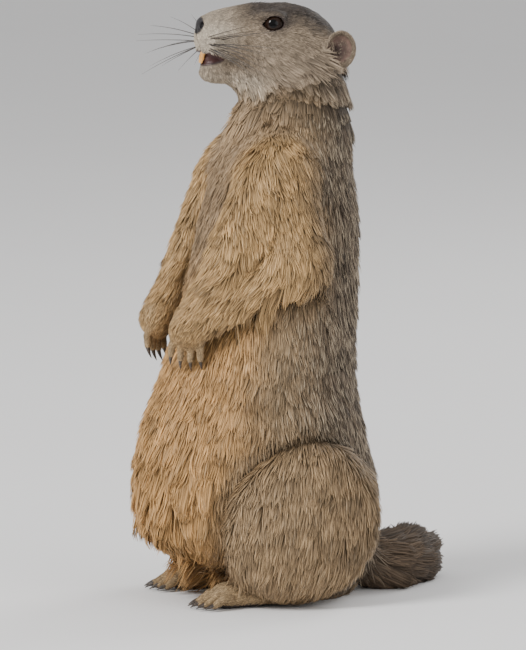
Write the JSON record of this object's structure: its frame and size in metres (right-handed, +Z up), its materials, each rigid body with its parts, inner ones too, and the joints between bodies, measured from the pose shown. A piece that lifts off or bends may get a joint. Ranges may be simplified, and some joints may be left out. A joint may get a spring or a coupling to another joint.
{
  "type": "alpine marmot",
  "caption": "Life-size alpine marmot, a still museum-style model, standing upright on its hind feet with its hands hanging before its belly and its tail on the floor.",
  "frame": {"origin": "on the floor, under the middle of the whole animal's box", "axes": "+Z is up, the animal faces -Y and its left side is +X"},
  "size_m": [0.2104, 0.274, 0.4677],
  "materials": {
    "coat": "dense grizzled fur, dark on the back and ochre below",
    "face": "short grizzled fur, dark crown and pale muzzle",
    "limb": "ochre fur",
    "tail": "bushy dark brown fur with a black tip",
    "eye": "wet, near-black brown",
    "tooth": "yellow-orange enamel",
    "skin": "bare dark skin of the nose, lips and pads",
    "claw": "dark horn"
  },
  "bodies": {
    "root": {"torso": "coat", "neck": "coat", "head": "face", "eye_left": "eye", "eye_right": "eye", "ear_left": "face", "ear_right": "face", "incisor_left": "tooth", "incisor_right": "tooth", "arm_left": "limb", "arm_right": "limb", "hand_left": "limb", "hand_right": "limb", "thigh_left": "limb", "thigh_right": "limb", "foot_left": "limb", "foot_right": "limb", "tail_base": "tail", "tail_end": "tail"}
  },
  "joints": []
}
